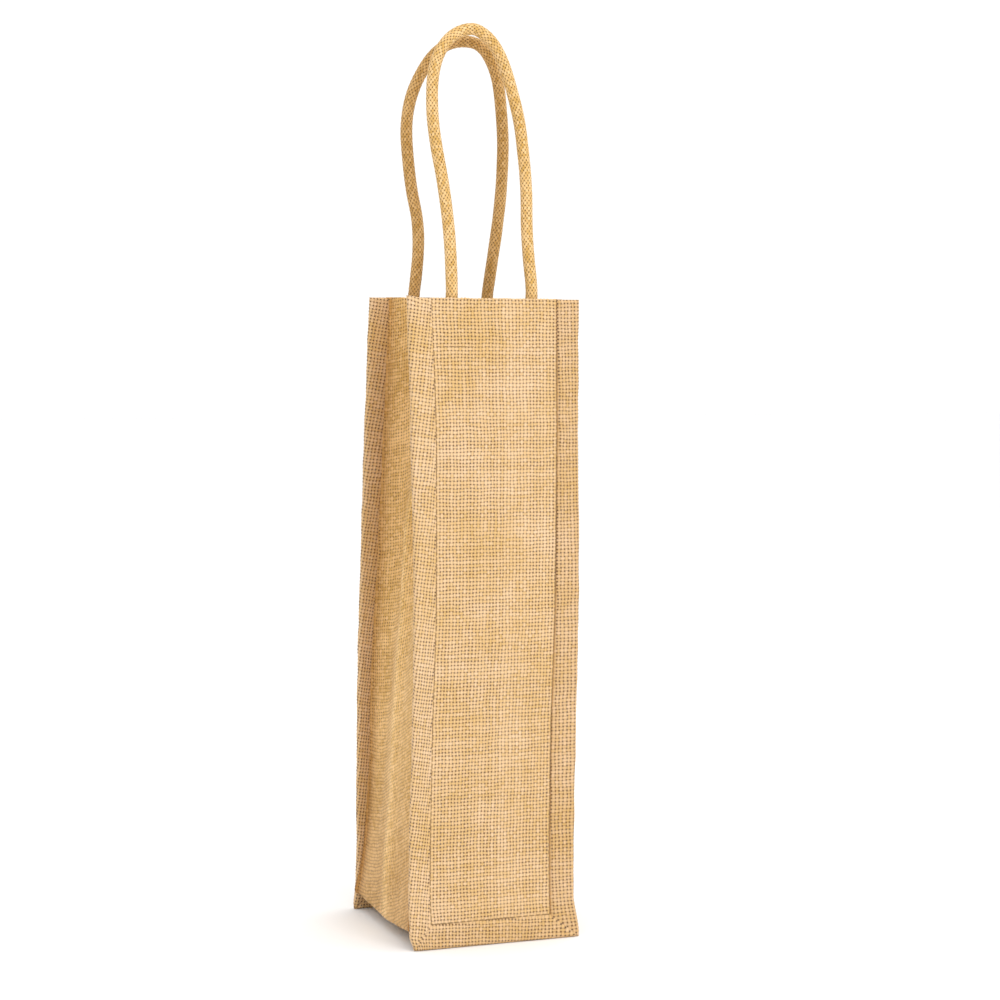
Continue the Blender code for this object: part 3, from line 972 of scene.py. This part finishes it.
def gusset_half_width(hand, share, z):
    """Half width of a gusset, at a share of its depth from the back seam (-1) to the front (1)."""
    to_seam = 1 - np.abs(share)
    seam, crease = table(GUSSET_EDGE, z), table(GUSSET_CREASE, z)
    sharp = smooth(0.05, 0.30, z)
    soft_fold = 1 - (1 - to_seam) ** 2
    fold = to_seam * sharp + soft_fold * (1 - sharp)
    s_curve = smooth(0.0, 1.0, fold)
    inward = fold * 0.45 + s_curve * 0.55
    pillow = 0.0026 * np.sin(math.pi * to_seam) * smooth(0.33, 0.12, z) * smooth(0.02, 0.12, z)
    pillow = pillow * smooth(0.0, 0.4, share)
    ridge = table(RIDGE_RISE, z) * hump(share, table(RIDGE_SHARE, z), 0.18)
    hollow = HOLLOW_DEPTH * hump(share, HOLLOW_SHARE, 0.26)
    hollow = hollow * smooth(0.330, 0.22, z) * smooth(0.015, 0.07, z)
    slack = 0.0007 * ripple(share * 0.05, z, 0.055, 81 + hand) * smooth(0.0, 0.25, to_seam)
    slack = slack * smooth(0.010, 0.050, z)
    flare = 0.0020 * (1 - smooth(0.0, 0.10, to_seam)) ** 2
    return seam + (crease - seam) * inward + pillow + ridge - hollow + slack + flare


def make_gusset(hand, hand_word, jute, lined):
    """The side of the bag, from seam to seam. Its foot turns under the base in a soft fold."""
    share = stations(-1.0, 1.0, 0.022, 0.012, 0.012)[None, :]
    up = stations(0.0, HEIGHT, COARSE_STEP, 0.012, CLOTH / 2)[:, None]
    turn = np.linspace(-math.pi / 2, 0, 7)[:-1]
    under = np.linspace(-LIP, -0.001, 5)
    rows_x, rows_z, rows_v = [], [], []
    for run in under:
        rows_x.append(run - FOLD_RADIUS)
        rows_z.append(-FOLD_RADIUS)
        rows_v.append(run - FOLD_RADIUS * math.pi / 2)
    for angle in turn:
        rows_x.append(FOLD_RADIUS * (math.cos(angle) - 1))
        rows_z.append(FOLD_RADIUS * math.sin(angle))
        rows_v.append(FOLD_RADIUS * angle)
    fold_x = np.concatenate([rows_x, np.zeros(len(up))])[:, None]
    fold_z = np.concatenate([rows_z, np.zeros(len(up))])[:, None]
    up = np.concatenate([np.zeros(len(rows_x)), up[:, 0]])[:, None]
    v = np.concatenate([rows_v, up[len(rows_v):, 0]])[:, None]
    depth_at_foot = FOOT_HALF_DEPTH - GUSSET_SEAM_DEPTH
    foot = base_height(share * depth_at_foot) + FOLD_RADIUS - CLOTH / 2
    z = foot + (HEIGHT - foot) * up / HEIGHT + fold_z
    half_width = gusset_half_width(hand, share, np.maximum(z, foot)) + fold_x
    y = -share * (half_depth(z) - GUSSET_SEAM_DEPTH)
    scallop = scalloped(y) * smooth(HEIGHT - 0.0012, HEIGHT, z)
    middle = np.stack(np.broadcast_arrays(hand * half_width, y, z + scallop), axis=-1)
    across = share * depth_at_foot
    run = across + depth_at_foot
    skew = GUSSET_SLANT * (run - 0.012 * (1 - np.exp(-run / 0.012)))
    flat = np.stack(np.broadcast_arrays(across + 0.03 * v, v - skew), axis=-1)
    # Painted shade, strongest along the seams and a little over all, left off the ridge as painted
    # light; the cloth is also darker towards its foot
    seam = hump(1 - np.abs(share), 0.0, 0.16)
    ridge = hump(share, table(RIDGE_SHARE, z), 0.13) * smooth(0.32, 0.25, z)
    darker_foot = 0.24 * smooth(0.110, 0.020, z)
    painted_shade = np.broadcast_to((0.13 + darker_foot) * (1 - ridge) + 0.50 * seam, middle.shape[:2])
    name = f"{hand_word}_gusset_cloth"
    gusset = make_sheet(name, middle, CLOTH, flat, (hand, 0, 0), THIN_EDGES, (jute, lined), painted_shade)
    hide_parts(f"{hand_word}_gusset_front", f"{hand_word}_gusset_rear")
    return gusset


def make_gusset_hem(hand, hand_word, jute, lined):
    """The turned-in top of a gusset, creased with it."""
    share = stations(-0.97, 0.97, 0.03, 0.012, 0.012)[None, :]
    z = stations(HEM_FOOT, HEIGHT - 0.0002, 0.0012, CLOTH / 2, CLOTH / 2)[:, None]
    half_width = gusset_half_width(hand, share, z) - CLOTH - 0.0006
    y = -share * (half_depth(z) - GUSSET_SEAM_DEPTH)
    middle = np.stack(np.broadcast_arrays(hand * half_width, y, z + 0 * share), axis=-1)
    flat = np.stack(np.broadcast_arrays(share * 0.048, z), axis=-1)
    name = f"{hand_word}_gusset_hem_cloth"
    hem = make_sheet(name, middle, CLOTH, flat, (hand, 0, 0), THIN_EDGES, (lined, jute))
    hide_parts(f"{hand_word}_gusset_hem")
    return hem


def make_base(jute, lined):
    """The floor of the bag, slung between the bottom welts and sagging along its sides."""
    depth = FOOT_HALF_DEPTH - GUSSET_SEAM_DEPTH - 0.0006
    width = BASE_HALF_WIDTH
    x = stations(-width, width, COARSE_STEP, CLOTH / 2, CLOTH / 2)[None, :]
    y = stations(-depth, depth, COARSE_STEP, CLOTH / 2, CLOTH / 2)[:, None]
    z = base_height(y) + CLOTH + 0.0002 + 0.0004 * ripple(x, y, 0.05, 91)
    middle = np.stack(np.broadcast_arrays(x, y, z), axis=-1)
    flat = np.stack(np.broadcast_arrays(x, y), axis=-1)
    base = make_sheet("base_cloth", middle, CLOTH, flat, (0, 0, -1), THIN_EDGES, (jute, lined))
    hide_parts("base_panel")
    return base


# --- The whole bag -------------------------------------------------------------------------


def make_side(side, word, route, body, materials, braid):
    """The front or the back: its panel, welts, hem and stitches, and its rope."""
    jute, lined, thread = materials
    feet = (route[0][0], route[-1][0])
    cloth = [make_panel(side, word, jute, lined), make_bottom_welt(side, word, jute)]
    cloth.append(make_hem(side, word, feet, jute, lined))
    cloth += [make_welt_stitches(side, word, thread), make_hem_stitches(side, word, thread)]
    for hand, hand_word in ((LEFT, "left"), (RIGHT, "right")):
        cloth.append(make_upright_welt(side, word, hand, hand_word, jute))
    for piece in cloth:
        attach(piece, body)
    rope = make_rope(side, word, route, braid)
    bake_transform(rope)


def make_bag():
    """All the cloth, thread and rope. The cloth and stitches of each side, and the base, ride the body
    that they belong to; the gussets and ropes are left without one.
    """
    jute, lined = jute_material("jute"), lined_jute_material("lined_jute")
    side_jute, thread = gusset_material("gusset_jute"), thread_material("sewing_thread")
    front_braid = rope_material("front_braid", light=(0.78, 0.515, 0.235), dark=(0.58, 0.335, 0.085))
    # The back rope wears a darker copy of the braid as painted shade
    back_braid_painted_shade = rope_material("back_braid_painted_shade", light=(0.62, 0.375, 0.145), dark=(0.44, 0.235, 0.055))
    materials = (jute, lined, thread)
    make_side(FRONT, "front", FRONT_ROUTE, "front_side", materials, front_braid)
    make_side(BACK, "back", BACK_ROUTE, "bag_body", materials, back_braid_painted_shade)
    for hand, hand_word in ((LEFT, "left"), (RIGHT, "right")):
        for piece in (
            make_gusset(hand, hand_word, side_jute, lined),
            make_gusset_hem(hand, hand_word, side_jute, lined),
        ):
            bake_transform(piece)
    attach(make_base(side_jute, lined), "bag_body")


# --- Camera and studio ---------------------------------------------------------------------

CAMERA_AZIMUTH = math.radians(-22.79)
CAMERA_ELEVATION = math.radians(4.44)
CAMERA_ROLL = math.radians(-0.68)
CAMERA_DISTANCE = 1.4012
CAMERA_AIM_ACROSS = 0.0181
CAMERA_AIM_HEIGHT = 0.2385
CAMERA_LENS = 90.7


def make_camera():
    """The camera as fitted to the photo: from the front left and just above the rim."""
    a, e, r = CAMERA_AZIMUTH, CAMERA_ELEVATION, CAMERA_ROLL
    back = Vector((math.sin(a) * math.cos(e), -math.cos(a) * math.cos(e), math.sin(e)))
    right = Vector((math.cos(a), math.sin(a), 0.0))
    up = back.cross(right)
    aim = right * CAMERA_AIM_ACROSS + Vector((0.0, 0.0, CAMERA_AIM_HEIGHT))
    rolled_right = right * math.cos(r) - up * math.sin(r)
    rolled_up = right * math.sin(r) + up * math.cos(r)
    place = aim + back * CAMERA_DISTANCE
    data = bpy.data.cameras.new("camera")
    data.lens = CAMERA_LENS
    data.sensor_width = 36.0
    data.clip_end = 20.0
    camera = bpy.data.objects.new("camera", data)
    turn = Matrix((rolled_right, rolled_up, back)).transposed().to_4x4()
    camera.matrix_world = Matrix.Translation(place) @ turn
    bpy.context.collection.objects.link(camera)
    bpy.context.scene.camera = camera


def make_light(name, place, aim, size, power):
    """A round area light that faces its aim."""
    data = bpy.data.lights.new(name, "AREA")
    data.shape = "DISK"
    data.size = size
    data.energy = power
    lamp = bpy.data.objects.new(name, data)
    lamp.location = place
    lamp.rotation_mode = "QUATERNION"
    lamp.rotation_quaternion = (Vector(aim) - Vector(place)).to_track_quat("-Z", "Y")
    bpy.context.collection.objects.link(lamp)


def make_studio():
    """A white floor and a white surround, with a soft key light and a light from above."""
    half = 6.0
    mesh = bpy.data.meshes.new("floor")
    corners = [(-half, -half, 0), (half, -half, 0), (half, half, 0), (-half, half, 0)]
    mesh.from_pydata(corners, [], [(0, 1, 2, 3)])
    white = bpy.data.materials.new("floor")
    white.use_nodes = True
    shader = white.node_tree.nodes["Principled BSDF"]
    shader.inputs["Base Color"].default_value = (0.93, 0.93, 0.93, 1.0)
    shader.inputs["Roughness"].default_value = 0.8
    shader.inputs["Specular IOR Level"].default_value = 0.1
    mesh.materials.append(white)
    floor = bpy.data.objects.new("floor", mesh)
    bpy.context.collection.objects.link(floor)

    world = bpy.data.worlds.new("studio")
    world.use_nodes = True
    background = world.node_tree.nodes["Background"]
    background.inputs["Color"].default_value = (1.0, 1.0, 1.0, 1.0)
    background.inputs["Strength"].default_value = 1.08
    bpy.context.scene.world = world
    bpy.context.scene.view_settings.view_transform = "Standard"
    make_light("key", (0.25, -1.6, 1.45), (0.0, 0.0, 0.2), 1.2, 12.0)
    make_light("top", (0.3, 0.1, 1.9), (0.0, 0.0, 0.3), 1.0, 6.0)


make_bag()
make_camera()
make_studio()
